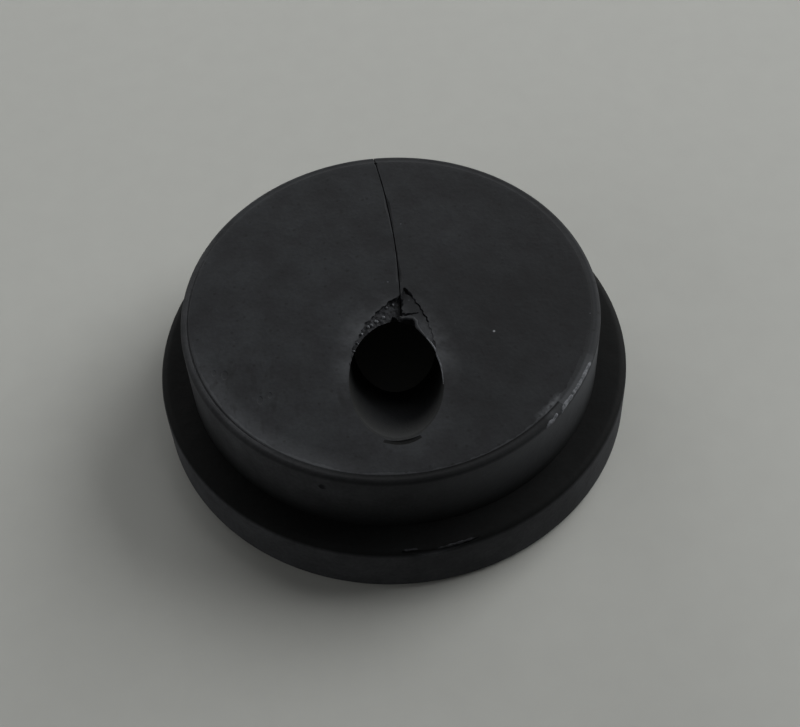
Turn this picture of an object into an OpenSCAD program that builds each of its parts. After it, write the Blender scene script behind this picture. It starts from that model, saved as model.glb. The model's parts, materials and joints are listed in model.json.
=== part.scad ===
// Split rubber grommet: a round boss on a wider flange, moulded in one piece.
// The cable bore runs through it at a slant, so its mouth is an ellipse to one
// side of the middle. The mouth's near lip is worn round by the cable, the thin
// far lip is torn away, and a slit runs from the tear to the rim.
// Sizes are in millimetres. The part stands on its flange, +Z is up, the origin
// is the middle of the underside, and the mouth lies towards -Y.

/* [Flange] */
// Outside diameter of the flange
flange_d = 46; // [44:0.5:60]
// Thickness of the flange
flange_t = 6.1; // [5:0.1:10]
// Radius on the flange's upper and lower edges
flange_edge_r = 0.8; // [0.4:0.1:1.5]

/* [Boss] */
// Outside diameter of the boss, which fills the hole in the panel
boss_d = 40; // [38:0.5:41]
// Height of the boss above the flange
boss_h = 7.2; // [6:0.1:12]
// Radius of the moulded bead round the boss's upper edge
bead_r = 0.45; // [0.3:0.05:0.6]
// Drop from the boss's face to the crest of the bead
bead_drop = 0.1; // [0.05:0.05:0.2]
// Radius in the corner between boss and flange
corner_r = 0.5; // [0.3:0.1:0.8]

/* [Bore] */
// Diameter of the cable bore
bore_d = 8.7; // [7:0.1:9]
// Lean of the bore from upright, with its mouth towards -Y, in degrees
bore_lean = 48; // [40:1:50]
// Distance of the mouth's middle from the boss's middle, towards -Y
mouth_offset = 8.8; // [8:0.1:9.5]
// Distance of the bore from the boss's middle, towards +X
bore_side = 0.2; // [-0.5:0.1:0.5]
// Radius to which the cable has worn the mouth's near lip
worn_lip_r = 2.4; // [0.5:0.1:4]

/* [Tear] */
// Distance that the tear reaches past the middle, towards +Y
tear_reach = 2.1; // [1:0.1:3]
// Height of the ragged teeth along the torn edges
tear_jag = 0.14; // [0:0.02:0.2]
// Outward bow of the crumbled side's edge, left of the slit
crumb_bow = 1.26; // [0.8:0.02:1.4]
// Depth of the crumbled floor along that edge
crumb_depth = 0.3; // [0.1:0.05:0.5]
// Slope of the crumbled floor down towards the bore, in degrees
crumb_slope = 14; // [8:1:20]
// Outward bow of the flap's crack, right of the slit
flap_bow = 0.6; // [0.4:0.05:0.8]
// Depth to which the flap has sunk along its crack
flap_depth = 0.08; // [0.05:0.01:0.3]
// Droop of the flap towards the bore, in degrees
flap_slope = 10; // [5:1:20]
// Width of the cracks beside and across the flap, where they open
crack_w = 0.24; // [0.1:0.02:0.3]
// Depth of those cracks below the boss's face
crack_depth = 0.9; // [0.6:0.1:1.2]

/* [Slit] */
// Width of the slit
slit_w = 0.15; // [0.1:0.05:0.4]
// Radius of the slit's curve
slit_bend_r = 86; // [60:1:200]
// Distance of the slit from the middle at the tear, towards +X
slit_side = 1.05; // [0.8:0.05:1.2]

/* [Hidden] */
$fn = 128;
// Overshoot of every cut past the face that it opens
past = 0.5;
flange_r = flange_d / 2;
boss_r = boss_d / 2;
bore_r = bore_d / 2;
height = flange_t + boss_h;
// Radius at which the flat face ends and drops to the bead
face_r = boss_r - 2 * bead_r + bead_drop;
// Half length of the mouth, which is an ellipse in the boss's face
mouth_half = bore_r / cos(bore_lean);
// Distance between the teeth of a torn edge, and turn from tooth to tooth
tooth_pitch = 0.75;
tooth_turn = 137;
// Distance of the tear's tip from the slit, and of the flap's corner from the tip
tip_side = 0.4;
flap_l = 2.2;
tear_tip = [slit_side + tip_side, tear_reach];
// Where the tear ends on the mouth's edge, to the left and to the right
tear_left = on_mouth(78);
tear_right = on_mouth(-64);
mouth_middle = [bore_side, -mouth_offset];
// Middle of the slit's arc, far out towards -X
slit_centre = [slit_side - slit_bend_r, tear_reach];
// Ends of the crack across the flap: on the slit, and short of the crack beside it
flap_corner = on_slit(tear_reach - flap_l);
crack_stop = tear_tip + 0.38 * (tear_right - tear_tip);
// Length of a cut that passes through the part from any side
through = 4 * flange_d;

// Quarter of a rounded edge, where a square corner at p would be.
// The corner is an upper one where up is true, and a lower one elsewhere.
module edge_2d(p, r, up) {
    intersection() {
        translate([p[0] - r, up ? p[1] - r : p[1]]) square(r);
        translate([p[0] - r, up ? p[1] - r : p[1] + r]) circle(r);
    }
}

// Half section of the moulding, from the axis outwards
module section_2d() {
    // Flange, with both edges rounded
    square([flange_r - flange_edge_r, flange_t]);
    translate([0, flange_edge_r]) square([flange_r, flange_t - 2 * flange_edge_r]);
    edge_2d([flange_r, flange_t], flange_edge_r, true);
    edge_2d([flange_r, 0], flange_edge_r, false);
    // Boss, with a flat face inside a bead
    square([face_r, height]);
    square([boss_r, height - bead_drop - bead_r]);
    translate([boss_r - bead_r, height - bead_drop - bead_r]) circle(bead_r);
    // Fillet where the boss stands on the flange
    translate([boss_r, flange_t]) difference() {
        translate([-past, -past]) square(corner_r + past);
        translate([corner_r, corner_r]) circle(corner_r);
    }
}

// Places what is drawn round +Z at the bore's mouth, along the leaning bore
module along_bore() {
    translate([bore_side, -mouth_offset, height]) rotate([bore_lean, 0, 0]) children();
}

// The mould's cable bore, straight through at a slant
module bore_cut() {
    along_bore() cylinder(r = bore_r, h = through, center = true);
}

// Near lip of the mouth, worn round by the cable. The roll is a ring round the
// bore: it runs from the bore's wall to the face, and clears the mouth's sides.
module worn_lip_cut() {
    turn = 90 - bore_lean;
    along_bore() translate([0, 0, mouth_half * sin(bore_lean) - worn_lip_r * tan(turn / 2)])
        rotate_extrude() difference() {
            square([bore_r + worn_lip_r, worn_lip_r * sin(turn)]);
            translate([bore_r + worn_lip_r, 0]) circle(worn_lip_r);
        }
}

// Point on the mouth's edge, at an angle from +Y towards -X
function on_mouth(angle) =
    [bore_side - bore_r * sin(angle), -mouth_offset + mouth_half * cos(angle)];

// Point on the middle of the slit
function on_slit(y) =
    [slit_centre[0] + sqrt(slit_bend_r ^ 2 - (y - slit_centre[1]) ^ 2), y];

// Direction across the line from a to b, to its left
function left_of(a, b) = [a[1] - b[1], b[0] - a[0]] / norm(b - a);

// Points from a to b, bowed out to the left and broken by teeth
function torn_edge(a, b, bow) =
    let (count = round(norm(b - a) / tooth_pitch))
    [for (i = [0:count])
        let (t = i / count, tooth = i == 0 || i == count ? 0 : sin(i * tooth_turn) * tear_jag)
        a + t * (b - a) + left_of(a, b) * (4 * bow * t * (1 - t) + tooth)];

// Column over an outline in plan, from the flange up past the boss's face
module column(points) {
    translate([0, 0, flange_t]) linear_extrude(boss_h + past) polygon(points);
}

// What lies over a plane that dips to the right of the line from a to b
module over_slope(a, b, depth, slope) {
    translate([a[0], a[1], height - depth])
        rotate([0, 0, atan2(b[1] - a[1], b[0] - a[0])]) rotate([slope, 0, 0])
            translate([-boss_d, -boss_d, 0]) cube([2 * boss_d, boss_d + past, boss_h]);
}

// One side of the torn far lip. Its outer edge is ragged and bows out from the
// line from a to b, its inner outline is given, and its floor dips to the bore.
module torn_side(a, b, bow, inner, depth, slope) {
    crest = bow * left_of(a, b);
    intersection() {
        column(concat(torn_edge(a, b, bow), inner));
        over_slope(a + crest, b + crest, depth, slope);
    }
}

// Side that has crumbled away, up to the middle of the slit
module crumbled_cut() {
    bore_edge = on_slit(mouth_half - mouth_offset);
    torn_side(tear_left, tear_tip, crumb_bow, [flap_corner, bore_edge, mouth_middle],
        crumb_depth, crumb_slope);
}

// Flap left of the lip on the slit's other side, which has sunk and droops.
// It laps over the deeper crumbled side, so that no fin is left in the slit.
module flap_cut() {
    torn_side(tear_tip, tear_right, flap_bow, [mouth_middle, flap_corner - [past, 0]],
        flap_depth, flap_slope);
}

// Crack from a, where it is open, to its point at b
module crack_cut(a, b, bow) {
    path = torn_edge(a, b, bow);
    last = len(path) - 1;
    back = [for (i = [last - 1:-1:0])
        path[i] - left_of(a, b) * crack_w * cos(90 * i / last)];
    intersection() {
        column(concat(path, back));
        translate([-boss_r, -boss_r, height - crack_depth]) cube([boss_d, boss_d, boss_h]);
    }
}

// Slit from the bore through boss and flange, on a gentle curve. It stops at
// the bore's own middle plane, so that it opens the bore's far side only.
module slit_cut() {
    start = asin((-mouth_offset - slit_centre[1]) / slit_bend_r);
    end = asin((flange_r + past - slit_centre[1]) / slit_bend_r);
    intersection() {
        translate([slit_centre[0], slit_centre[1], -past]) rotate([0, 0, start])
            rotate_extrude(angle = end - start, $fn = 720)
                translate([slit_bend_r - slit_w / 2, 0])
                    square([slit_w, height + 2 * past]);
        along_bore() translate([-bore_r, 0, -through / 2])
            cube([bore_d, flange_d, through]);
    }
}

module grommet() {
    color("#25272a") difference() {
        rotate_extrude() section_2d();
        bore_cut();
        worn_lip_cut();
        crumbled_cut();
        flap_cut();
        crack_cut(tear_tip, tear_right, flap_bow);
        crack_cut(flap_corner, crack_stop, 0);
        slit_cut();
    }
}

grommet();
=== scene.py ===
import json
import math

import bpy
from mathutils import Matrix, Vector


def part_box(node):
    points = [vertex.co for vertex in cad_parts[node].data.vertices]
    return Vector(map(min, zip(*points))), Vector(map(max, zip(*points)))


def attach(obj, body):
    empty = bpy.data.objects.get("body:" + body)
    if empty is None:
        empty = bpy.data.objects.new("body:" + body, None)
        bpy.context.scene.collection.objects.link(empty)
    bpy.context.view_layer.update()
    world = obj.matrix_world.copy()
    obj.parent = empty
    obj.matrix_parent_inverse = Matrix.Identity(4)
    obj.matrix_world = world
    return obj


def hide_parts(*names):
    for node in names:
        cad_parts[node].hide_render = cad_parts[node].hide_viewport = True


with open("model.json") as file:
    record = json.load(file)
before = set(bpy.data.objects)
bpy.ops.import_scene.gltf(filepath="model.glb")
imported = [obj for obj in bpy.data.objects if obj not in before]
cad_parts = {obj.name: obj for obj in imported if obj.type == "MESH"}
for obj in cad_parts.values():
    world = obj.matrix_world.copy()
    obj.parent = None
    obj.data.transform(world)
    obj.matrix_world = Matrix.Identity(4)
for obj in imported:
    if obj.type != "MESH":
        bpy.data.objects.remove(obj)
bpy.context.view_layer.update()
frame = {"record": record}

# ---------------------------------------------------------------------------
# Bench top: a sheet of board with a dull light grey paint, rolled on, under
# the grommet. It is only a stage, wide enough for a view from any side.
# ---------------------------------------------------------------------------
MM = 0.001


def linear(code):
    """An sRGB hex colour as linear RGBA."""
    parts = [int(code[i:i + 2], 16) / 255 for i in (1, 3, 5)]
    lin = [c / 12.92 if c <= 0.04045 else ((c + 0.055) / 1.055) ** 2.4 for c in parts]
    return (*lin, 1)


def put(tree, kind, inputs=None, **settings):
    """Adds a node with its settings. An input takes a value, a socket or another node."""
    node = tree.nodes.new(kind)
    for name, value in settings.items():
        setattr(node, name, value)
    for key, value in (inputs or {}).items():
        if isinstance(value, bpy.types.Node):
            value = next(end for end in value.outputs if not end.is_unavailable)
        if isinstance(value, bpy.types.NodeSocket):
            tree.links.new(value, node.inputs[key])
        else:
            node.inputs[key].default_value = value
    return node


BENCH_GREY = "#9e9f9b"
BENCH_GREY_THIN = "#9a9b97"
BENCH_W = 2
ROLLER_NAP = 3 * MM
bpy.ops.object.select_all(action="DESELECT")
bpy.ops.mesh.primitive_plane_add(size=BENCH_W)
bench = bpy.context.object
bench.name = "bench_top"

# Dull emulsion paint: almost no gloss, and faint marks as wide as the roller's nap
paint = bpy.data.materials.new("dull_grey_emulsion_paint")
paint.use_nodes = True
tree = paint.node_tree
shader = tree.nodes["Principled BSDF"]
shader.inputs["Roughness"].default_value = 0.85
shader.inputs["Specular IOR Level"].default_value = 0.2
place = put(tree, "ShaderNodeTexCoord")
roller = put(tree, "ShaderNodeTexNoise", {
    "Vector": place.outputs["Object"], "Scale": 1 / ROLLER_NAP, "Detail": 2.0})
tone = put(tree, "ShaderNodeMix", {
    "Factor": roller, "A": linear(BENCH_GREY), "B": linear(BENCH_GREY_THIN)},
    data_type="RGBA")
tree.links.new(next(e for e in tone.outputs if not e.is_unavailable),
               shader.inputs["Base Color"])
bench.data.materials.append(paint)

# ---------------------------------------------------------------------------
# Grommet: one moulding in black rubber, a round boss on a wider flange. The
# mould leaves soft corners, and a bead round the edge of the face. The outline
# is turned here ring by ring, from the underside to the face.
# ---------------------------------------------------------------------------
mounts = {m["name"]: m for m in frame["record"]["mounts"]}
low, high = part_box("grommet")
flange_r = (high[0] - low[0]) / 2
boss_r = mounts["boss_seat"]["dims"]["r_mm"] * MM
shoulder = mounts["flange_shoulder"]["pos_m"][2]
top = high[2]
bore = mounts["cable_bore"]
bore_r = bore["dims"]["r_mm"] * MM
axis = Vector(bore["axis"])
if axis.z < 0:
    axis.negate()
lean = math.acos(axis.z)
mouth = Vector(bore["pos_m"])
mouth += axis * (top - mouth.z) / axis.z
mouth_half = bore_r / math.cos(lean)
# The flange's round edges
edge_r = 0.8 * MM
# The bead's roundness, and how far it lies below the face
bead_r = 0.45 * MM
bead_drop = 0.04 * MM
# The face inside the bead, and the worn round of its edge
face_r = boss_r - 0.8 * MM
face_edge_r = 0.13 * MM
# The turning starts from a disc under the flange and closes on a small one in the face
base_r = flange_r - edge_r - 0.1 * MM
middle_r = 0.4 * MM
SPOKES = 288
# Spacing of the rings on the flange and the walls, and on the face
WALL_STEP = 0.6 * MM
FACE_STEP = 0.4 * MM
# Points closer than this are one
MERGE = 0.001 * MM


def arc(r, z, radius, start, end, count):
    """Points (radius, height) along an arc, angles in degrees from outwards."""
    turns = [math.radians(start + (end - start) * i / count) for i in range(count + 1)]
    return [(r + radius * math.cos(t), z + radius * math.sin(t)) for t in turns]


def run(begin, end, step):
    """Points along a straight stretch, without its ends."""
    count = math.ceil(math.dist(begin, end) / step)
    return [(begin[0] + (end[0] - begin[0]) * i / count,
             begin[1] + (end[1] - begin[1]) * i / count) for i in range(1, count)]


stretches = [
    [(base_r, low[2])],
    arc(flange_r - edge_r, low[2] + edge_r, edge_r, -90, 0, 8),
    arc(flange_r - edge_r, shoulder - edge_r, edge_r, 0, 90, 8),
    [(boss_r, shoulder)],
    # The bead turns down again past its crest, and the face stands up behind it
    arc(boss_r - bead_r, top - bead_drop - bead_r, bead_r, 0, 95, 14),
    arc(face_r - face_edge_r, top - face_edge_r, face_edge_r, 55, 90, 2),
    [(middle_r, top)],
]
outline = []
for stretch in stretches:
    if outline:
        step = FACE_STEP if stretch is stretches[-1] else WALL_STEP
        outline += run(outline[-1], stretch[0], step)
    outline += stretch

bpy.ops.object.select_all(action="DESELECT")
bpy.ops.mesh.primitive_circle_add(
    vertices=SPOKES, radius=outline[0][0], fill_type="NGON", location=(0, 0, outline[0][1]))
grommet = bpy.context.object
grommet.name = "rubber_grommet"
bpy.ops.object.transform_apply(location=True)
bpy.ops.object.mode_set(mode="EDIT")
bpy.ops.mesh.select_all(action="SELECT")
for (r0, z0), (r1, z1) in zip(outline, outline[1:]):
    bpy.ops.mesh.extrude_region_move(TRANSFORM_OT_translate={"value": (0, 0, z1 - z0)})
    bpy.ops.transform.resize(value=(r1 / r0, r1 / r0, 1), center_override=(0, 0, z1))
bpy.ops.mesh.select_all(action="SELECT")
bpy.ops.mesh.normals_make_consistent(inside=False)
bpy.ops.object.mode_set(mode="OBJECT")


def direction(bearing):
    """Unit vector in plan, at an angle from +X towards +Y."""
    return Vector((math.cos(math.radians(bearing)), math.sin(math.radians(bearing)), 0))


# Where things lie round the grommet, in degrees from +X towards +Y
SCUFF_BEARING = -34
SCUFF_AND_LIGHT_BEARING = -26
STREAK_BEARING = -43
EDGE_HIGHLIGHT_BEARING = -132
PAINTED_LIGHT_BEARING = -170
SIDE_LIGHT_BEARING = -50
FRONT_BEARING = -95
RUBBER_BLACK = "#0a0b0b"
# Painted light: the grey that stands in for light reflected in the walls
RUBBER_PAINTED_LIGHT = "#363739"
# Pale grey of the scuff's wear, used also for painted highlights and painted light
RUBBER_WEAR_AND_PAINTED_LIGHT = "#56585b"
BLOOM_THIN = "#18191b"
BLOOM_THICK = "#1f2123"
DUST = "#404246"
LINT = "#77797c"
# Broad drifts and clouds in the surface, and the grain that the ground mould leaves
DRIFT_SIZE = 8 * MM
CLOUD_SIZE = 3.2 * MM
GRAIN_SIZE = 0.35 * MM
# Heights between which the wall goes over to the bead's crest
crest_low = top - 0.6 * MM
crest_high = top - 0.25 * MM

# Nitrile rubber off a ground mould: near black and dull. Its walls carry painted light, a grey
# most on the left that stands in for the floor's light reflected in them. Along one stretch of
# the rim it was dragged over something rough, which scored it down the wall.
rubber = bpy.data.materials.new("moulded_black_rubber")
# The same rubber on the face, under the grey bloom of wax that rises to old rubber
bloomed = bpy.data.materials.new("bloomed_black_rubber")
for finish, roughness, gloss_level in ((rubber, 0.75, 0.06), (bloomed, 0.8, 0.12)):
    finish.use_nodes = True
    tree = finish.node_tree
    shader = tree.nodes["Principled BSDF"]
    shader.inputs["Roughness"].default_value = roughness
    shader.inputs["Specular IOR Level"].default_value = gloss_level
    place = put(tree, "ShaderNodeTexCoord")
    here = place.outputs["Object"]
    flat = put(tree, "ShaderNodeVectorMath", {0: here, 1: (1, 1, 0)}, operation="MULTIPLY")
    reach = put(tree, "ShaderNodeVectorMath", {0: flat}, operation="LENGTH")
    bearing = put(tree, "ShaderNodeVectorMath", {0: flat}, operation="NORMALIZE")
    across, ahead, height = put(tree, "ShaderNodeSeparateXYZ", {0: here}).outputs
    cloud = put(tree, "ShaderNodeTexNoise", {
        "Vector": here, "Scale": 1 / CLOUD_SIZE, "Detail": 4.0, "Roughness": 0.66})
    grain = put(tree, "ShaderNodeTexNoise", {
        "Vector": here, "Scale": 1 / GRAIN_SIZE, "Detail": 2.0})
    if finish is bloomed:
        thick = put(tree, "ShaderNodeMapRange", {
            "Value": cloud, "From Min": 0.36, "From Max": 0.64})
        base = put(tree, "ShaderNodeMix", {
            "Factor": thick, "A": linear(BLOOM_THIN), "B": linear(BLOOM_THICK)},
            data_type="RGBA")
        # Painted shade: the face grows darker towards +X, following how the light falls across
        # it
        shade = put(tree, "ShaderNodeMapRange", {
            "Value": across, "From Min": -boss_r, "From Max": boss_r,
            "To Min": 1.03, "To Max": 0.72})
        drift = put(tree, "ShaderNodeTexNoise", {
            "Vector": here, "Scale": 1 / DRIFT_SIZE, "Detail": 1.0})
        drift = put(tree, "ShaderNodeMapRange", {
            "Value": drift, "From Min": 0.35, "From Max": 0.65, "To Min": 0.9, "To Max": 1.1})
        shade = put(tree, "ShaderNodeMath", {0: shade, 1: drift}, operation="MULTIPLY")
        # Painted shade: a patch to the right of the mouth is darker
        right_patch_shade = put(tree, "ShaderNodeVectorMath", {
            0: here, 1: (12.5 * MM, -3 * MM, top)}, operation="DISTANCE")
        right_patch_shade = put(tree, "ShaderNodeMapRange", {
            "Value": right_patch_shade, "From Min": 4 * MM, "From Max": 13 * MM,
            "To Min": 0.8, "To Max": 1.02})
        shade = put(tree, "ShaderNodeMath", {0: shade, 1: right_patch_shade}, operation="MULTIPLY")
    else:
        # Painted light, most on the left, for the floor's light reflected in the walls
        left = put(tree, "ShaderNodeVectorMath", {
            0: bearing, 1: direction(PAINTED_LIGHT_BEARING)}, operation="DOT_PRODUCT")
        left_light = put(tree, "ShaderNodeMapRange", {
            "Value": left, "From Min": 0.0, "From Max": 1.0, "To Min": 0.3, "To Max": 1.05})
        # The painted light fades out down the wall, leaving painted shade in the corner over
        # the flange, and keeps off the flange's top
        wall = put(tree, "ShaderNodeMapRange", {
            "Value": height, "From Min": shoulder + 0.2 * MM, "From Max": top - 2 * MM})
        side = put(tree, "ShaderNodeMapRange", {
            "Value": height, "From Min": shoulder - 0.7 * MM, "From Max": shoulder - 0.35 * MM,
            "To Min": 1.0, "To Max": 0.0})
        upright = put(tree, "ShaderNodeMath", {0: wall, 1: side}, operation="MAXIMUM")
        outer = put(tree, "ShaderNodeMapRange", {
            "Value": reach, "From Min": boss_r - 3 * MM, "From Max": boss_r - 2 * MM,
            "To Min": 0.3})
        upright = put(tree, "ShaderNodeMath", {0: upright, 1: outer}, operation="MULTIPLY")
        amount = put(tree, "ShaderNodeMath", {0: left_light, 1: upright}, operation="MULTIPLY")
        # Away from the left the bead's crest gets less painted light than the wall
        crest = put(tree, "ShaderNodeMapRange", {
            "Value": left, "From Min": -0.1, "From Max": 0.85, "To Min": 0.15, "To Max": 0.6})
        crest = put(tree, "ShaderNodeMapRange", {
            "Value": height, "From Min": crest_low, "From Max": crest_high,
            "To Min": 1.0, "To Max": crest})
        amount = put(tree, "ShaderNodeMath", {0: amount, 1: crest}, operation="MULTIPLY")
        # Painted light on the flange's side at the front right, where the floor's light falls
        # on it
        side_light = put(tree, "ShaderNodeVectorMath", {
            0: bearing, 1: direction(SIDE_LIGHT_BEARING)}, operation="DOT_PRODUCT")
        side_light = put(tree, "ShaderNodeMapRange", {
            "Value": side_light, "From Min": 0.5, "From Max": 0.95, "To Min": 0.02, "To Max": 0.42})
        amount = put(tree, "ShaderNodeMath", {0: side, 1: side_light, 2: amount},
                     operation="MULTIPLY_ADD")
        base = put(tree, "ShaderNodeMix", {
            "Factor": amount, "A": linear(RUBBER_BLACK), "B": linear(RUBBER_PAINTED_LIGHT)},
            data_type="RGBA")
        shade = put(tree, "ShaderNodeMapRange", {
            "Value": cloud, "From Min": 0.3, "From Max": 0.7, "To Min": 0.8, "To Max": 1.2})
    toned = put(tree, "ShaderNodeMix", {"Factor": 1.0, "A": base, "B": shade},
                data_type="RGBA", blend_type="MULTIPLY")
    fleck = put(tree, "ShaderNodeMapRange", {
        "Value": grain, "From Min": 0.3, "From Max": 0.7, "To Min": 0.88, "To Max": 1.12})
    toned = put(tree, "ShaderNodeMix", {"Factor": 1.0, "A": toned, "B": fleck},
                data_type="RGBA", blend_type="MULTIPLY")
    # The scuff: broken grey scores over the bead and down the wall
    near = put(tree, "ShaderNodeVectorMath", {0: bearing, 1: direction(SCUFF_BEARING)},
               operation="DOT_PRODUCT")
    along = put(tree, "ShaderNodeMapRange", {
        "Value": near, "From Min": 0.966, "From Max": 0.985}, interpolation_type="SMOOTHSTEP")
    inward = put(tree, "ShaderNodeMapRange", {
        "Value": reach, "From Min": face_r, "From Max": face_r + 0.2 * MM})
    down = put(tree, "ShaderNodeMapRange", {
        "Value": height, "From Min": top - 3.0 * MM, "From Max": top - 0.2 * MM})
    drawn = put(tree, "ShaderNodeVectorMath", {0: here, 1: (0, 0, 1 / (2.2 * MM))},
                operation="MULTIPLY")
    drawn = put(tree, "ShaderNodeVectorMath", {0: bearing, 1: (26, 26, 0), 2: drawn},
                operation="MULTIPLY_ADD")
    drawn = put(tree, "ShaderNodeTexNoise", {"Vector": drawn, "Scale": 1.0, "Detail": 4.0})
    scored = put(tree, "ShaderNodeMapRange", {
        "Value": drawn, "From Min": 0.4, "From Max": 0.72, "To Max": 0.5})
    scuff = put(tree, "ShaderNodeMath", {0: along, 1: inward}, operation="MULTIPLY")
    scuff = put(tree, "ShaderNodeMath", {0: scuff, 1: down}, operation="MULTIPLY")
    scuff = put(tree, "ShaderNodeMath", {0: scuff, 1: scored}, operation="MULTIPLY")
    # Round about it the wall is greyed, partly the scuff's wear and partly painted light on
    # the wall's lit right side, and the bead's crest less than the wall
    near = put(tree, "ShaderNodeVectorMath", {
        0: bearing, 1: direction(SCUFF_AND_LIGHT_BEARING)}, operation="DOT_PRODUCT")
    wide = put(tree, "ShaderNodeMapRange", {
        "Value": near, "From Min": 0.3, "From Max": 0.95, "To Max": 0.44},
        interpolation_type="SMOOTHSTEP")
    faded = put(tree, "ShaderNodeMapRange", {
        "Value": height, "From Min": shoulder + 0.1 * MM, "From Max": top - 1.0 * MM})
    wide = put(tree, "ShaderNodeMath", {0: wide, 1: faded}, operation="MULTIPLY")
    wide = put(tree, "ShaderNodeMath", {0: wide, 1: inward}, operation="MULTIPLY")
    black_crest = put(tree, "ShaderNodeMapRange", {
        "Value": height, "From Min": crest_low, "From Max": crest_high,
        "To Min": 1.0, "To Max": 0.22})
    greyed = put(tree, "ShaderNodeMath", {0: along, 1: 0.55}, operation="MULTIPLY")
    black_crest = put(tree, "ShaderNodeMath", {0: black_crest, 1: greyed}, operation="MAXIMUM")
    wide = put(tree, "ShaderNodeMath", {0: wide, 1: black_crest}, operation="MULTIPLY")
    scuff = put(tree, "ShaderNodeMath", {0: scuff, 1: wide}, operation="MAXIMUM")
    worn = put(tree, "ShaderNodeMix", {
        "Factor": scuff, "A": toned, "B": linear(RUBBER_WEAR_AND_PAINTED_LIGHT)}, data_type="RGBA")
    if finish is bloomed:
        # Beside the scuff, a rubbed streak on the face
        beside = put(tree, "ShaderNodeVectorMath", {
            0: bearing, 1: direction(STREAK_BEARING)}, operation="DOT_PRODUCT")
        beside = put(tree, "ShaderNodeMapRange", {
            "Value": beside, "From Min": 0.995, "From Max": 0.999})
        streak = put(tree, "ShaderNodeMath", {0: reach, 1: boss_r - 1.1 * MM},
                     operation="SUBTRACT")
        streak = put(tree, "ShaderNodeMath", {0: streak}, operation="ABSOLUTE")
        streak = put(tree, "ShaderNodeMapRange", {
            "Value": streak, "From Min": 0.5 * MM, "From Max": 0, "To Max": 0.6})
        streak = put(tree, "ShaderNodeMath", {0: streak, 1: beside}, operation="MULTIPLY")
        broken = put(tree, "ShaderNodeTexNoise", {
            "Vector": here, "Scale": 1 / (0.8 * MM), "Detail": 3.0})
        broken = put(tree, "ShaderNodeMapRange", {
            "Value": broken, "From Min": 0.38, "From Max": 0.6})
        streak = put(tree, "ShaderNodeMath", {0: streak, 1: broken}, operation="MULTIPLY")
        worn = put(tree, "ShaderNodeMix", {
            "Factor": streak, "A": worn, "B": linear(RUBBER_WEAR_AND_PAINTED_LIGHT)}, data_type="RGBA")
        # Pinholes in the bloom, each about a quarter of a millimetre across
        pinhole = put(tree, "ShaderNodeTexVoronoi", {
            "Vector": here, "Scale": 1 / (1.8 * MM)}, voronoi_dimensions="2D")
        some = put(tree, "ShaderNodeMath", {0: pinhole.outputs["Color"], 1: 0.5},
                   operation="GREATER_THAN")
        pinhole = put(tree, "ShaderNodeMapRange", {
            "Value": pinhole.outputs["Distance"], "From Min": 0.11, "From Max": 0.04,
            "To Max": 0.6})
        pinhole = put(tree, "ShaderNodeMath", {0: pinhole, 1: some}, operation="MULTIPLY")
        worn = put(tree, "ShaderNodeMix", {
            "Factor": pinhole, "A": worn, "B": linear(RUBBER_BLACK)}, data_type="RGBA")
        # Painted highlight, pale towards the rim at the front left, where the face's edge
        # catches the light
        near = put(tree, "ShaderNodeVectorMath", {
            0: bearing, 1: direction(EDGE_HIGHLIGHT_BEARING)}, operation="DOT_PRODUCT")
        along = put(tree, "ShaderNodeMapRange", {
            "Value": near, "From Min": 0.75, "From Max": 1.0}, interpolation_type="SMOOTHSTEP")
        inward = put(tree, "ShaderNodeMapRange", {
            "Value": reach, "From Min": face_r - 2.0 * MM, "From Max": face_r,
            "To Max": 0.24})
        edge_highlight = put(tree, "ShaderNodeMath", {0: along, 1: inward}, operation="MULTIPLY")
        # Painted highlight along the front too, on the very edge
        fore = put(tree, "ShaderNodeVectorMath", {
            0: bearing, 1: direction(FRONT_BEARING)}, operation="DOT_PRODUCT")
        fore = put(tree, "ShaderNodeMapRange", {
            "Value": fore, "From Min": 0.1, "From Max": 0.6, "To Max": 0.13})
        ragged_edge = put(tree, "ShaderNodeMapRange", {
            "Value": cloud, "From Min": 0.4, "From Max": 0.6, "To Min": face_r - 0.12 * MM,
            "To Max": face_r - 0.4 * MM})
        ragged_edge = put(tree, "ShaderNodeMath", {0: reach, 1: ragged_edge},
                          operation="GREATER_THAN")
        edge_highlight = put(tree, "ShaderNodeMath", {0: ragged_edge, 1: fore, 2: edge_highlight},
                     operation="MULTIPLY_ADD")
        worn = put(tree, "ShaderNodeMix", {
            "Factor": edge_highlight, "A": worn, "B": linear(RUBBER_WEAR_AND_PAINTED_LIGHT)}, data_type="RGBA")
        # Painted highlight, pale round the mouth and most towards its torn end, where the lip
        # catches the light
        offset = put(tree, "ShaderNodeVectorMath", {
            0: here, 1: (-mouth.x, -mouth.y - 0.4 * MM, -top)}, operation="ADD")
        offset = put(tree, "ShaderNodeVectorMath", {
            0: offset, 1: (1 / bore_r, 1 / (mouth_half + 0.8 * MM), 0)},
            operation="MULTIPLY")
        offset = put(tree, "ShaderNodeVectorMath", {0: offset}, operation="LENGTH")
        mouth_highlight = put(tree, "ShaderNodeMapRange", {
            "Value": offset, "From Min": 1.45, "From Max": 1.02, "To Max": 0.32})
        patchy = put(tree, "ShaderNodeMapRange", {
            "Value": cloud, "From Min": 0.4, "From Max": 0.6, "To Min": 0.3})
        mouth_highlight = put(tree, "ShaderNodeMath", {0: mouth_highlight, 1: patchy}, operation="MULTIPLY")
        torn_end = put(tree, "ShaderNodeMapRange", {
            "Value": ahead, "From Min": mouth.y - 2 * MM, "From Max": mouth.y + 4 * MM,
            "To Min": 0.15})
        mouth_highlight = put(tree, "ShaderNodeMath", {0: mouth_highlight, 1: torn_end},
                       operation="MULTIPLY")
        worn = put(tree, "ShaderNodeMix", {
            "Factor": mouth_highlight, "A": worn, "B": linear(RUBBER_WEAR_AND_PAINTED_LIGHT)}, data_type="RGBA")
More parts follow.
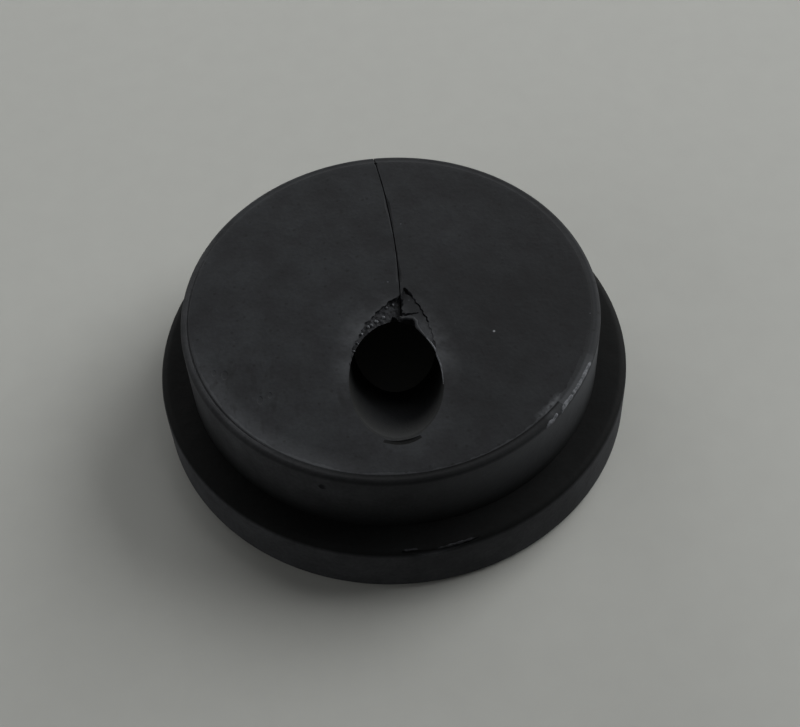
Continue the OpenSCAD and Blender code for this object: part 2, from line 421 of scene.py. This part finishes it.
        # Painted shade of a faint crease on the left of the mouth, which is not cut into the
        # face
        fold = put(tree, "ShaderNodeMapping", {
            "Vector": here, "Location": (-4.85 * MM, -10.6 * MM, top),
            "Rotation": (0, 0, math.radians(14)),
            "Scale": (0.42 * MM, 1.4 * MM, 1)}, vector_type="TEXTURE")
        fold = put(tree, "ShaderNodeVectorMath", {0: fold}, operation="LENGTH")
        fold = put(tree, "ShaderNodeMapRange", {
            "Value": fold, "From Min": 1.0, "From Max": 0.2, "To Max": 0.5},
            interpolation_type="SMOOTHSTEP")
        worn = put(tree, "ShaderNodeMix", {
            "Factor": fold, "A": worn, "B": linear(RUBBER_BLACK)}, data_type="RGBA")
        # Dark streaks over a patch on the left of the face
        spot = put(tree, "ShaderNodeVectorMath", {
            0: here, 1: (-13 * MM, -9 * MM, top)}, operation="DISTANCE")
        spot = put(tree, "ShaderNodeMapRange", {
            "Value": spot, "From Min": 7 * MM, "From Max": 3 * MM})
        dark_streak = put(tree, "ShaderNodeMapping", {
            "Vector": here, "Rotation": (0, 0, math.radians(-35)),
            "Scale": (1 / (0.7 * MM), 1 / (2 * MM), 1)})
        dark_streak = put(tree, "ShaderNodeTexNoise", {
            "Vector": dark_streak, "Scale": 1.0, "Detail": 2.0})
        dark_streak = put(tree, "ShaderNodeMapRange", {
            "Value": dark_streak, "From Min": 0.54, "From Max": 0.68, "To Max": 0.4})
        dark_streak = put(tree, "ShaderNodeMath", {0: dark_streak, 1: spot}, operation="MULTIPLY")
        worn = put(tree, "ShaderNodeMix", {
            "Factor": dark_streak, "A": worn, "B": linear(RUBBER_BLACK)}, data_type="RGBA")
        # Dust: a few pale specks of about 0.15 mm over the whole face
        dust = put(tree, "ShaderNodeTexVoronoi", {"Vector": here, "Scale": 1 / (2.1 * MM)})
        few = put(tree, "ShaderNodeSeparateColor", {0: dust.outputs["Color"]})
        few = put(tree, "ShaderNodeMath", {0: few, 1: 0.72}, operation="GREATER_THAN")
        speck = put(tree, "ShaderNodeMapRange", {
            "Value": dust.outputs["Distance"], "From Min": 0.045, "From Max": 0.025})
        speck = put(tree, "ShaderNodeMath", {0: speck, 1: few}, operation="MULTIPLY")
        worn = put(tree, "ShaderNodeMix", {
            "Factor": speck, "A": worn, "B": linear(DUST)}, data_type="RGBA")
        # One bright bit of lint on the right
        lint = put(tree, "ShaderNodeVectorMath", {
            0: here, 1: (9.61 * MM, -3.86 * MM, top)}, operation="DISTANCE")
        lint = put(tree, "ShaderNodeMapRange", {
            "Value": lint, "From Min": 0.14 * MM, "From Max": 0.07 * MM})
        worn = put(tree, "ShaderNodeMix", {
            "Factor": lint, "A": worn, "B": linear(LINT)}, data_type="RGBA")
    tree.links.new(next(e for e in worn.outputs if not e.is_unavailable),
                   shader.inputs["Base Color"])
    bump = put(tree, "ShaderNodeBump", {
        "Height": grain, "Strength": 0.2, "Distance": 0.05 * MM})
    bump = put(tree, "ShaderNodeBump", {
        "Height": cloud, "Strength": 0.5, "Distance": 0.15 * MM, "Normal": bump})
    tree.links.new(bump.outputs["Normal"], shader.inputs["Normal"])

# The bore's wall carries painted light, greyest on its near side and paler deeper down. Torn
# rubber is rough and gritty, with a weak sheen on its broken faces, and a thin frayed edge of
# it is pale with strain and with a painted glint where it catches the light.
GRIT_SIZE = 0.25 * MM
bore_rubber = bpy.data.materials.new("bore_rubber_painted_light")
torn = bpy.data.materials.new("torn_black_rubber")
frayed_glint = bpy.data.materials.new("frayed_rubber_edge_painted_glint")
for finish, dark, pale, gloss_level in (
        (bore_rubber, "#111212", "#28292b", 0.1), (torn, "#0e0f10", "#26272a", 0.18),
        (frayed_glint, "#3c3e41", "#606266", 0.25)):
    finish.use_nodes = True
    tree = finish.node_tree
    shader = tree.nodes["Principled BSDF"]
    shader.inputs["Specular IOR Level"].default_value = gloss_level
    shader.inputs["Roughness"].default_value = 0.85
    place = put(tree, "ShaderNodeTexCoord")
    grit = put(tree, "ShaderNodeTexNoise", {
        "Vector": place.outputs["Object"], "Scale": 1 / GRIT_SIZE, "Detail": 3.0})
    tone = put(tree, "ShaderNodeMapRange", {"Value": grit, "From Min": 0.35, "From Max": 0.65})
    if finish is bore_rubber:
        # Painted light: greyest along the near side of the bore, where the light falls into
        # it, and paler deeper down
        offset = put(tree, "ShaderNodeVectorMath", {
            0: place.outputs["Object"], 1: mouth}, operation="SUBTRACT")
        offset = put(tree, "ShaderNodeVectorMath", {
            0: offset, 1: axis.cross(Vector((-1, 0, 0)))}, operation="DOT_PRODUCT")
        tone = put(tree, "ShaderNodeMapRange", {
            "Value": offset.outputs["Value"], "From Min": 1.5 * MM, "From Max": 4.2 * MM})
        height = put(tree, "ShaderNodeSeparateXYZ", {0: place.outputs["Object"]}).outputs["Z"]
        deep = put(tree, "ShaderNodeMapRange", {
            "Value": height, "From Min": top - 1.5 * MM, "From Max": top - 9 * MM,
            "To Min": 0.12})
        tone = put(tree, "ShaderNodeMath", {0: tone, 1: deep}, operation="MULTIPLY")
    tone = put(tree, "ShaderNodeMix", {
        "Factor": tone, "A": linear(dark), "B": linear(pale)}, data_type="RGBA")
    tree.links.new(next(e for e in tone.outputs if not e.is_unavailable),
                   shader.inputs["Base Color"])
    bump = put(tree, "ShaderNodeBump", {
        "Height": grit, "Strength": 0.6, "Distance": 0.06 * MM})
    tree.links.new(bump.outputs["Normal"], shader.inputs["Normal"])

# The bloom lies on the face, and at the right and the back it spreads over the bead
BLOOMED_BEAD_FROM = -40
BLOOMED_BEAD_TO = 150
bead_bloom_depth = 0.3 * MM
grommet.data.materials.append(rubber)
grommet.data.materials.append(bloomed)
for facet in grommet.data.polygons:
    around = math.degrees(math.atan2(facet.center.y, facet.center.x))
    over_bead = BLOOMED_BEAD_FROM < around < BLOOMED_BEAD_TO
    bloom_r = boss_r if over_bead else face_r
    bloom_depth = bead_bloom_depth if over_bead else face_edge_r
    on_face = facet.center.z > top - bloom_depth and facet.center.xy.length < bloom_r
    facet.material_index = 1 if on_face else 0


def cut(tool, finish=None, operation="DIFFERENCE"):
    """Takes a tool's shape out of the grommet, or joins it on, and leaves its finish."""
    if finish:
        tool.data.materials.append(finish)
    bpy.ops.object.select_all(action="DESELECT")
    bpy.context.view_layer.objects.active = tool
    bpy.ops.object.mode_set(mode="EDIT")
    bpy.ops.mesh.select_all(action="SELECT")
    bpy.ops.mesh.remove_doubles(threshold=MERGE)
    bpy.ops.mesh.normals_make_consistent(inside=False)
    bpy.ops.object.mode_set(mode="OBJECT")
    bpy.context.view_layer.objects.active = grommet
    step = grommet.modifiers.new(operation.lower(), "BOOLEAN")
    step.operation = operation
    step.solver = "MANIFOLD"
    step.material_mode = "TRANSFER"
    step.object = tool
    bpy.ops.object.modifier_apply(modifier=step.name)
    bpy.data.objects.remove(tool)


# Cable bore: a pin in the mould leaves it, leaning at 48 degrees, so its mouth
# is an ellipse. The cable has worn the mouth's near lip round.
lip_w = 0.24 * MM
lip_depth = 0.22 * MM
# A cutting tool stands out of the rubber by this much
clear = 1 * MM
PIN_SPOKES = 224
PIN_RINGS = 24
LIP_RINGS = 8


def bore_ring(z):
    """Middle and half sizes of the bore's level outline at a height."""
    flare = 0.0
    if z > top - lip_depth:
        rise = min(1.0, (z - top + lip_depth) / lip_depth)
        flare = lip_w * (1 - math.sqrt(1 - rise ** 2))
    middle_y = mouth.y + (top - z) * math.tan(lean) - flare / 2
    return middle_y, bore_r + 0.1 * flare, mouth_half + flare / 2


heights = [low[2] - clear]
heights += [low[2] + (top - lip_depth - low[2]) * i / PIN_RINGS for i in range(PIN_RINGS + 1)]
heights += [top - lip_depth * math.cos(math.radians(90 * i / LIP_RINGS))
            for i in range(1, LIP_RINGS + 1)]
heights += [top + clear]
y0, across0, along0 = bore_ring(heights[0])
bpy.ops.object.select_all(action="DESELECT")
bpy.ops.mesh.primitive_circle_add(vertices=PIN_SPOKES, radius=1, fill_type="NGON")
pin = bpy.context.object
pin.scale = (across0, along0, 1)
pin.location = (mouth.x, y0, heights[0])
bpy.ops.object.transform_apply(location=True, scale=True)
bpy.ops.object.mode_set(mode="EDIT")
bpy.ops.mesh.select_all(action="SELECT")
for z0, z1 in zip(heights, heights[1:]):
    y1, across1, along1 = bore_ring(z1)
    bpy.ops.mesh.extrude_region_move(
        TRANSFORM_OT_translate={"value": (0, y1 - y0, z1 - z0)})
    bpy.ops.transform.resize(
        value=(across1 / across0, along1 / along0, 1), center_override=(mouth.x, y1, z1))
    y0, across0, along0 = y1, across1, along1
bpy.ops.object.mode_set(mode="OBJECT")
cut(pin, bore_rubber)


def as_mesh(curve):
    """Puts a curve in the scene and turns it into a mesh."""
    made = bpy.data.objects.new(curve.name, curve)
    bpy.context.collection.objects.link(made)
    bpy.ops.object.select_all(action="DESELECT")
    made.select_set(True)
    bpy.context.view_layer.objects.active = made
    bpy.ops.object.convert(target="MESH")
    return bpy.context.object


def strand(path, width, height=0.0, taper=None):
    """A round cord along a path, or a wall with round edges if it has a height.

    The taper gives the width at each point as a share of the whole.
    """
    curve = bpy.data.curves.new("strand", "CURVE")
    curve.dimensions = "3D"
    curve.twist_mode = "Z_UP"
    curve.fill_mode = "FULL"
    curve.use_fill_caps = True
    curve.bevel_depth = width / 2
    curve.bevel_resolution = 3
    curve.extrude = height / 2
    line = curve.splines.new("POLY")
    line.points.add(len(path) - 1)
    for i, (point, place) in enumerate(zip(line.points, path)):
        point.co = (*place, 1)
        point.radius = taper[i] if taper else 1
    return as_mesh(curve)


def on_mouth(degrees, out=0.0):
    """Point on the mouth's edge at an angle from +Y towards -X, or that far outside it."""
    turn = math.radians(degrees)
    return Vector((mouth.x - (bore_r + out) * math.sin(turn),
                   mouth.y + (mouth_half + out) * math.cos(turn)))


# A crease runs round the front of the mouth, just outside the worn lip, and is
# deepest towards its right end
crease_r = 0.5 * MM
crease_out = 0.5 * MM
crease_depth = 0.1 * MM
crease = []
for i in range(41):
    place = on_mouth(146 + 60 * i / 40, crease_out)
    sunk = crease_depth * math.sin(math.pi * (i / 40) ** 1.9) ** 1.1
    crease.append((place.x, place.y, top + crease_r - sunk))
# It is cut with the plain black rubber, which paints shade into the crease
cut(strand(crease, 2 * crease_r), rubber)

# Along the left the bead stands clear of the face, with a fine groove between
groove_r = 0.13 * MM
groove_depth = 0.1 * MM
groove_end_depth = 0.035 * MM
groove = []
for i in range(73):
    place = (face_r + groove_r) * direction(142 + 94 * i / 72)
    sunk = groove_depth * math.sin(math.pi * i / 72) ** 0.8
    groove.append((place.x, place.y, top - groove_end_depth + groove_r - sunk))
cut(strand(groove, 2 * groove_r), rubber)

# Slit: cut with a blade from the bore to the rim, through boss and flange, so
# that the grommet can be sprung over a cable. It has closed again to a hairline.
slit_w = 0.1 * MM
slit_bend_r = 86 * MM
slit_side = 1.05 * MM
tear_reach = 2.1 * MM


def on_slit(y):
    """Point on the slit's long arc, whose middle lies far out towards -X."""
    off = y - tear_reach
    return Vector((slit_side - slit_bend_r + math.sqrt(slit_bend_r ** 2 - off ** 2), y))


# The blade stands out of the rubber all round, and stops in the bore
slit_path = [on_slit(-3 * MM + (flange_r + 4 * MM) * i / 60) for i in range(61)]
blade = strand([(p.x, p.y, top / 2) for p in slit_path], slit_w, top + 4 * MM)
bpy.ops.object.mode_set(mode="EDIT")
bpy.ops.mesh.select_all(action="SELECT")
bpy.ops.mesh.remove_doubles(threshold=MERGE)
bpy.ops.mesh.bisect(
    plane_co=mouth, plane_no=Vector((1, 0, 0)).cross(axis), clear_outer=True, use_fill=True)
bpy.ops.object.mode_set(mode="OBJECT")
cut(blade)

# The slit's edges have sagged inwards here and there
sag_r = 0.32 * MM
sag_lift = 0.2 * MM
sagged = [(p.x, p.y, top + sag_lift) for p in slit_path if 2.4 * MM < p.y < face_r]
sag_widths = [0.82 + 0.2 * math.sin(0.33 * i + 1) + 0.08 * math.sin(0.9 * i)
              for i in range(len(sagged))]
cut(strand(sagged, 2 * sag_r, 0, sag_widths), bloomed)

# Torn far lip: the bore's lean leaves this lip thin. Left of the slit it has
# crumbled away, and right of the slit a flap of it has sunk between two cracks.
tear_tip = Vector((slit_side + 0.4 * MM, tear_reach))
tear_left = on_mouth(80)
tear_right = on_mouth(-64)
flap_corner = on_slit(-0.1 * MM)


def ragged(start, end, bow, jag, pitch=0.3 * MM):
    """Points on a torn edge that bows out to the left, broken by uneven teeth."""
    count = round((end - start).length / pitch)
    left = (end - start).orthogonal().normalized()
    path = []
    for i in range(count + 1):
        t = i / count
        tooth = jag * (math.sin(i * 2.4) + 0.6 * math.sin(i * 5.1)) * min(1, 8 * t * (1 - t))
        path.append(start.lerp(end, t) + left * (4 * bow * t * (1 - t) + tooth))
    return path


def slab(edge, depth):
    """A tool over an outline in plan, from a depth below the face to well above."""
    curve = bpy.data.curves.new("slab", "CURVE")
    curve.dimensions = "2D"
    curve.fill_mode = "BOTH"
    rise = 2 * MM
    curve.extrude = (depth + rise) / 2
    line = curve.splines.new("POLY")
    line.points.add(len(edge) - 1)
    line.use_cyclic_u = True
    for point, place in zip(line.points, edge):
        point.co = (place.x, place.y, 0, 1)
    made = as_mesh(curve)
    made.location.z = top + (rise - depth) / 2
    bpy.ops.object.transform_apply(location=True)
    bpy.ops.object.mode_set(mode="EDIT")
    bpy.ops.mesh.select_all(action="SELECT")
    bpy.ops.mesh.remove_doubles(threshold=MERGE)
    bpy.ops.object.mode_set(mode="OBJECT")
    return made


def dip(tool, start, end, bow, degrees):
    """Turns a slab about its outer edge, so that its floor falls to the right."""
    line = (end - start).normalized()
    crest = start + (end - start).orthogonal().normalized() * bow
    hinge = Vector((crest.x, crest.y, top))
    turn = Matrix.Rotation(math.radians(degrees), 4, Vector((line.x, line.y, 0)))
    tool.matrix_world = Matrix.Translation(hinge) @ turn @ Matrix.Translation(-hinge)
    bpy.ops.object.transform_apply(location=True, rotation=True)


def crumble(tool, voxel, *grains):
    """Gives a tool a torn surface. Each grain is a texture, its size and its depth.

    The first remesh gives it points to move, and the second closes it again.
    """
    steps = [("REMESH", {"mode": "VOXEL", "voxel_size": voxel})]
    for kind, size, depth in grains:
        grain = bpy.data.textures.new(kind.lower(), kind)
        grain.noise_scale = size
        steps.append(("DISPLACE", {"texture": grain, "strength": depth}))
    steps.append(("REMESH", {"mode": "VOXEL", "voxel_size": voxel}))
    for kind, settings in steps:
        step = tool.modifiers.new(kind.lower(), kind)
        for name, value in settings.items():
            setattr(step, name, value)
        bpy.ops.object.modifier_apply(modifier=step.name)


# The crumbled side, down to craggy rubber
crumb_bow = 1.3 * MM
crumb_depth = 0.25 * MM
crumb_fall = 19
# Its inner side follows the slit in uneven steps
inner = [on_slit(y * MM) + Vector((x * MM, 0)) for y, x in (
    (1.0, 0.02), (0.75, 0.17), (0.5, 0.04), (0.2, 0.24), (-0.1, 0.08), (-0.4, 0.22),
    (-0.75, 0.1), (-2.3, 0))]
inner.append(Vector((mouth.x, mouth.y)))
crumb_top = on_slit(1.3 * MM)
crumbled = slab(ragged(tear_left, crumb_top, crumb_bow, 0.05 * MM) + inner, crumb_depth)
dip(crumbled, tear_left, crumb_top, crumb_bow, crumb_fall)
crumble(crumbled, 0.08 * MM, ("VORONOI", 0.6 * MM, 0.26 * MM), ("CLOUDS", 0.3 * MM, 0.16 * MM))
cut(crumbled, torn)

# The flap, sunk a little and drooping to the bore
flap_bow = 0.6 * MM
flap_depth = 0.04 * MM
flap_droop = 10
crack_path = ragged(tear_tip, tear_right, flap_bow, 0.07 * MM)
flap = slab(crack_path + [Vector((mouth.x, mouth.y)), flap_corner - Vector((0.4 * MM, 0))],
            flap_depth)
dip(flap, tear_tip, tear_right, flap_bow, flap_droop)
cut(flap, bloomed)

# The crack beside the flap gapes at its tip, and another runs across the flap. Each
# has its width, how fast the width falls off from its widest place, and its depth.
side_crack = crack_path[:17]
cross_crack = ragged(Vector((0.15, -0.42)) * MM, Vector((2.68, -0.97)) * MM,
                     -0.24 * MM, 0.05 * MM, 0.2 * MM)
for path, width, slope, depth in ((side_crack, 0.38 * MM, 3.2, 0.35 * MM),
                                  (cross_crack, 0.36 * MM, 1.1, 0.6 * MM)):
    last = len(path) - 1
    cut(strand([(p.x, p.y, top) for p in path], width, 2 * depth,
               [max(0.4, 1 - abs(slope * i / last - 0.4)) for i in range(last + 1)]), torn)

# The flap's front edge has broken off in lumps, back to the crack across it
bite = [Vector(p) * MM for p in (
    (0.15, -0.75), (0.45, -0.8), (0.72, -1.1), (0.8, -1.42), (1.1, -1.6), (1.4, -1.55),
    (1.75, -1.66), (2.05, -1.6), (2.24, -1.75), (2.3, -2.1), (2.26, -2.45), (2.4, -2.8),
    (2.62, -3.05), (2.66, -3.4), (2.9, -3.62), (2.0, -6.0), (-0.6, -6.0), (-0.3, -1.9))]
bite_depth = 2.2 * MM
cut(slab(bite, bite_depth), rubber)


def crumb(x, y, z, size, turn):
    """A lump of torn rubber, turned so that no two look the same."""
    bpy.ops.object.select_all(action="DESELECT")
    bpy.ops.mesh.primitive_ico_sphere_add(
        subdivisions=3, radius=size / 2, location=(x, y, z))
    lump = bpy.context.object
    lump.rotation_euler = (turn, 2 * turn, 3 * turn)
    lump.scale = (1.0, 0.8, 0.7)
    bpy.ops.object.transform_apply(location=True, rotation=True, scale=True)
    grain = bpy.data.textures.new("crumb", "CLOUDS")
    grain.noise_scale = 0.6 * size
    step = lump.modifiers.new("grain", "DISPLACE")
    step.texture = grain
    step.strength = 0.35 * size
    bpy.ops.object.modifier_apply(modifier=step.name)
    return lump


# Between the two sides of the tear a lump has come right out
cut(crumb(0.45 * MM, -1.05 * MM, top - 0.35 * MM, 1.15 * MM, 11), torn)
# Small ones still hang on to the crumbled side, each with its place and size in mm
crumbs = [(-1.4, -1.5, 0.46), (-0.7, -1.0, 0.44), (-2.15, -2.25, 0.36), (-1.85, -2.0, 0.38),
          (-2.8, -3.1, 0.36), (-3.25, -4.1, 0.34), (-3.62, -4.85, 0.3), (-0.35, 0.1, 0.36),
          (0.3, 0.55, 0.3)]
# The crumbs take the pale frayed rubber, partly torn rubber's own paleness and partly painted
# glint
for i, (x, y, size) in enumerate(crumbs):
    floor = grommet.ray_cast(
        Vector((x * MM, y * MM, top + clear)), Vector((0, 0, -1)))[1]
    cut(crumb(x * MM, y * MM, floor.z + 0.12 * size * MM, size * MM, i), frayed_glint, "UNION")

# The broken edge is drawn out pale, and a shred of the mouth's edge has curled up
ledge = [(0.86, -1.28), (1.1, -1.44), (1.45, -1.42), (1.8, -1.5), (2.15, -1.52), (2.42, -1.9),
         (2.45, -2.4), (2.6, -2.8), (2.82, -3.2), (3.1, -3.65), (3.45, -4.2)]
ledge_sunk = 0.26 * MM
ledge_widths = [0.5, 1, 0.9, 1, 1, 1.1, 1, 0.9, 0.8, 0.6, 0.3]
cut(strand([(x * MM, y * MM, top - ledge_sunk) for x, y in ledge], 0.3 * MM, 0,
           ledge_widths), bloomed, "UNION")
curl_sunk = 0.13 * MM
curl = []
for i in range(31):
    # Past the tear it lies on the bore's edge itself
    out = 0.06 * MM if i < 12 else -0.03 * MM
    place = on_mouth(-44 - 53 * i / 30, out)
    curl.append((place.x, place.y, top - curl_sunk + 0.02 * MM * math.sin(1.7 * i)))
curl_widths = [max(0.2, math.sin(math.pi * (i + 1) / 32)) ** 0.5 for i in range(31)]
# The curl takes the pale frayed rubber, partly with strain and partly as painted highlight on
# its lit edge
cut(strand(curl, 0.22 * MM, 0, curl_widths), frayed_glint, "UNION")

# The scuff has dragged up ridges of rubber on the bead, one long and two short. Each
# is a line of bearings and angles up the bead's round, with its width in mm.
ridge_r = bead_r - 0.04 * MM
ridge_z = top - 0.55 * MM
for ridge, width in (
        ([(-23.9, 50), (-25.3, 58), (-27, 61), (-28.6, 60), (-30.1, 60), (-31.5, 58),
          (-32.9, 56), (-34.2, 60), (-35, 59), (-36.2, 50)], 0.38),
        ([(-36, 56), (-37.2, 52), (-38.5, 57), (-39.8, 50), (-41, 40), (-42.4, 6)], 0.46),
        ([(-43.2, 52), (-43.9, 47), (-45.2, 30), (-46.4, 36), (-47.2, 29), (-48.5, 5)], 0.42)):
    path = []
    for (turn0, up0), (turn1, up1) in zip(ridge, ridge[1:]):
        for i in range(3):
            turn = math.radians(turn0 + (turn1 - turn0) * i / 3)
            up = math.radians(up0 + (up1 - up0) * i / 3)
            r = boss_r - bead_r + ridge_r * math.cos(up)
            path.append((r * math.cos(turn), r * math.sin(turn),
                         ridge_z + ridge_r * math.sin(up)))
    widths = []
    for i in range(len(path)):
        end = min(1, 0.6 + 0.2 * min(i, len(path) - 1 - i))
        widths.append((0.9 + 0.1 * math.sin(0.8 * i + 1)) * end)
    # The ridges take the pale frayed rubber: the scuff's wear, with painted highlight along
    # their crests
    cut(strand(path, width * MM, 0, widths), frayed_glint, "UNION")

# Small pits from the mould, long and shallow in the face and a round one in the wall,
# each with its place, its depth under the face and its size in mm
FACE_PIT = (0.7, 1.2, 0.1)
WALL_PIT = (1, 1, 1)
for x, y, z, size in ((-15.6, -7.1, 0, 0.9), (-12.3, -10.2, 0, 0.8), (-11.4, -9.7, 0, 0.6),
                      (-16.6, -6.8, 0, 0.6), (-6.9, -18.77, 1.8, 0.75)):
    bpy.ops.object.select_all(action="DESELECT")
    bpy.ops.mesh.primitive_ico_sphere_add(subdivisions=3, radius=size * MM / 2)
    pit = bpy.context.object
    pit.scale = FACE_PIT if z == 0 else WALL_PIT
    pit.location = (x * MM, y * MM, top - z * MM)
    bpy.ops.object.transform_apply(location=True, scale=True)
    cut(pit, bloomed if z == 0 else rubber)


def on_flange_edge(bearing, up, out=0.0):
    """Point on the round top edge of the flange, at an angle up from its side."""
    r = flange_r - edge_r + (edge_r + out) * math.cos(math.radians(up))
    turn = math.radians(bearing)
    return (r * math.cos(turn), r * math.sin(turn),
            shoulder - edge_r + (edge_r + out) * math.sin(math.radians(up)))


# A tear in the flange's front edge, where the mould's flash was pulled off: a slot, as
# bearings and angles up the round edge, and two shreds of flash along it
tear = [(-90.6, 54), (-88, 50), (-86.4, 42), (-85.2, 34), (-83, 36), (-80.6, 40), (-77.6, 46),
        (-75, 52), (-72.6, 58)]
tear_widths = [0.4, 0.6, 0.9, 1, 1, 0.9, 0.7, 0.5, 0.3]
# The slot is cut with the plain black rubber, clear of the side's painted light, as painted
# shade in it
cut(strand([on_flange_edge(*p) for p in tear], 0.36 * MM, 0.4 * MM, tear_widths), rubber)
shred_sunk = 0.09 * MM
for turn0, turn1, up0, up1, count in ((-90.3, -86.8, 65, 66, 9), (-82.4, -72.4, 54, 64, 25)):
    shred = []
    widths = []
    for i in range(count):
        t = i / (count - 1)
        shred.append(on_flange_edge(
            turn0 + (turn1 - turn0) * t, up0 + (up1 - up0) * t, -shred_sunk))
        end = math.sin(math.pi * (0.06 + 0.88 * t)) ** 0.4
        widths.append((0.85 + 0.15 * math.sin(1.1 * i)) * end)
    cut(strand(shred, 0.3 * MM, 0, widths), torn, "UNION")

bpy.ops.object.select_all(action="DESELECT")
grommet.select_set(True)
bpy.context.view_layer.objects.active = grommet
bpy.ops.object.shade_smooth_by_angle(angle=math.radians(32))
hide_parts("grommet")
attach(grommet, "root")

# ---------------------------------------------------------------------------
# Studio: a tall window on the right with a skylight over it, two low windows
# behind and a pale wall on the left, in a dim room. The camera is in front and
# looks down at the face.
# ---------------------------------------------------------------------------
# Each lamp's bearing and rise in degrees, distance and size in metres, and watts
for name, bearing, rise, distance, size, power in (
        ("tall_window", 27, 37, 1.2, (1.0, 0.6), 12.0),
        ("skylight", 50, 64, 1.2, (0.8, 0.6), 2.2),
        ("low_window_right", 44, 13, 1.3, (1.1, 0.5), 12.0),
        ("low_window_left", 115, 13, 1.3, (1.1, 0.5), 11.0),
        ("far_wall", 200, 25, 1.2, (1.2, 0.6), 2.8)):
    glow = bpy.data.lights.new(name, "AREA")
    glow.shape = "RECTANGLE"
    glow.size, glow.size_y = size
    glow.energy = power
    lamp = bpy.data.objects.new(name, glow)
    bpy.context.collection.objects.link(lamp)
    turn = math.radians(bearing)
    lift = math.radians(rise)
    lamp.location = distance * Vector((
        math.cos(lift) * math.cos(turn), math.cos(lift) * math.sin(turn), math.sin(lift)))
    lamp.rotation_euler = (-lamp.location).to_track_quat("-Z", "Y").to_euler()

# The room is lighter near the floor than overhead, and where it is seen it is even
ROOM_LOW = 0.34
ROOM_OVERHEAD = 0.05
ROOM_SEEN = 0.36
room = bpy.data.worlds.new("dim_room")
bpy.context.scene.world = room
room.use_nodes = True
tree = room.node_tree
back = tree.nodes["Background"]
back.inputs["Color"].default_value = linear("#ffffff")
place = put(tree, "ShaderNodeTexCoord")
height = put(tree, "ShaderNodeSeparateXYZ", {0: place.outputs["Generated"]})
room_light = put(tree, "ShaderNodeMapRange", {
    "Value": height.outputs["Z"], "From Min": 0.0, "From Max": 0.6,
    "To Min": ROOM_LOW, "To Max": ROOM_OVERHEAD})
ray = put(tree, "ShaderNodeLightPath")
seen = put(tree, "ShaderNodeMath", {
    0: ray.outputs["Is Camera Ray"], 1: ray.outputs["Is Glossy Ray"]}, operation="MAXIMUM")
seen = put(tree, "ShaderNodeMath", {
    0: seen, 1: ray.outputs["Is Transmission Ray"]}, operation="MAXIMUM")
shown = put(tree, "ShaderNodeMix", {"Factor": seen, "A": room_light, "B": ROOM_SEEN})
tree.links.new(shown.outputs["Result"], back.inputs["Strength"])

# A short telephoto lens held by hand: its place, the angle it looks down and its roll
CAMERA_AT = (0.000634, -0.090610, 0.123840)
LOOK_DOWN = 52.891
ROLL = -3.525
camera_data = bpy.data.cameras.new("camera")
camera_data.sensor_width = 36
camera_data.lens = 67.5
camera_data.clip_start = 0.01
camera = bpy.data.objects.new("camera", camera_data)
bpy.context.collection.objects.link(camera)
camera.matrix_world = (
    Matrix.Translation(CAMERA_AT)
    @ Matrix.Rotation(math.radians(90 - LOOK_DOWN), 4, "X")
    @ Matrix.Rotation(math.radians(ROLL), 4, "Z"))
bpy.context.scene.camera = camera
bpy.context.scene.view_settings.view_transform = "Standard"
